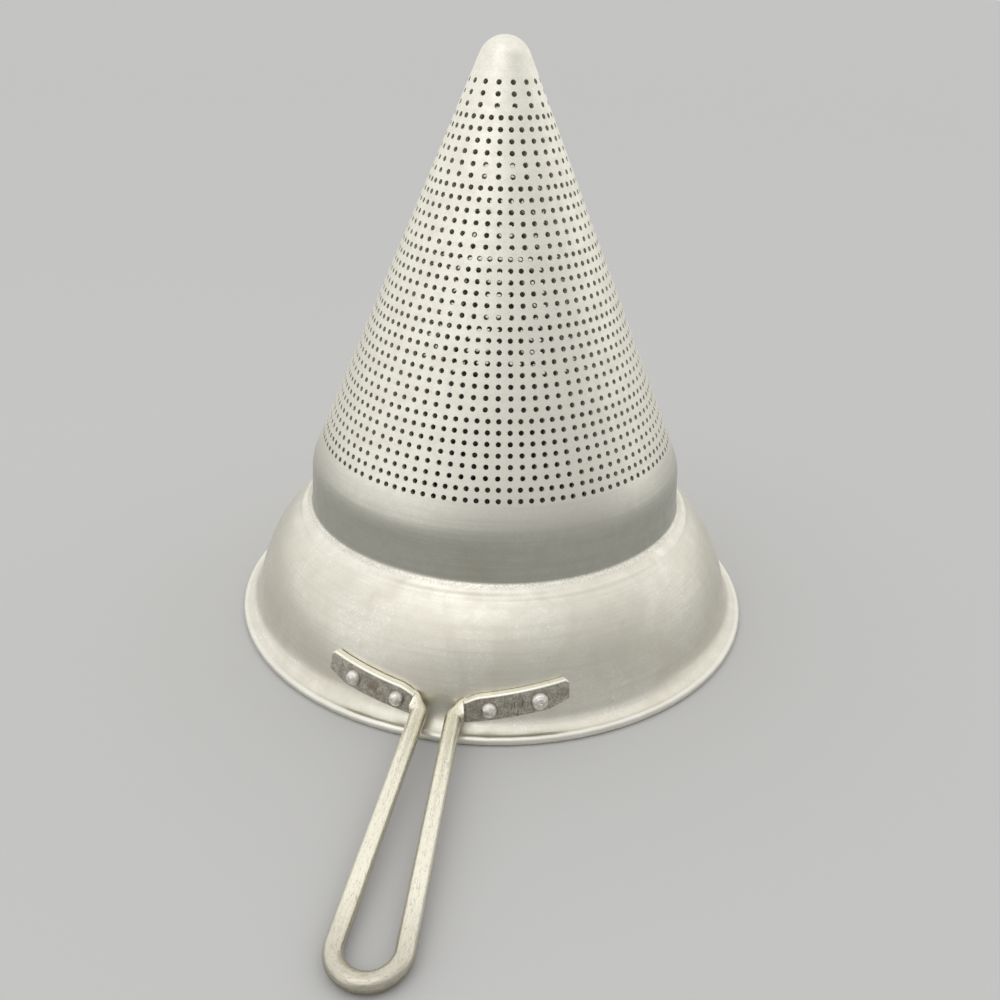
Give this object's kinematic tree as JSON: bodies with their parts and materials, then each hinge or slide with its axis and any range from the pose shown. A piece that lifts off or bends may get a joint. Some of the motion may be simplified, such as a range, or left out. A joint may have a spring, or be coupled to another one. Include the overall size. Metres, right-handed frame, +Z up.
{
  "type": "conical strainer",
  "caption": "Conical perforated aluminium strainer with a flared bowl, a rolled rim and a long wire loop handle riveted to the bowl, standing upside down on its rim",
  "frame": {"origin": "middle of the bounding box, on the surface that the rim stands on", "axes": "+Z up along the cone's axis, the handle points along -Y, X across the handle"},
  "size_m": [0.2576, 0.3802, 0.2672],
  "materials": {
    "spun_aluminium": "satin spun aluminium, dulled and mottled by washing",
    "plated_steel": "tinned steel wire, speckled and worn",
    "rivet_aluminium": "bright worn rivet heads"
  },
  "bodies": {
    "root": {"strainer_body": "spun_aluminium", "wire_handle": "plated_steel", "rivet_left_outer": "rivet_aluminium", "rivet_left_inner": "rivet_aluminium", "rivet_right_inner": "rivet_aluminium", "rivet_right_outer": "rivet_aluminium"}
  },
  "joints": []
}
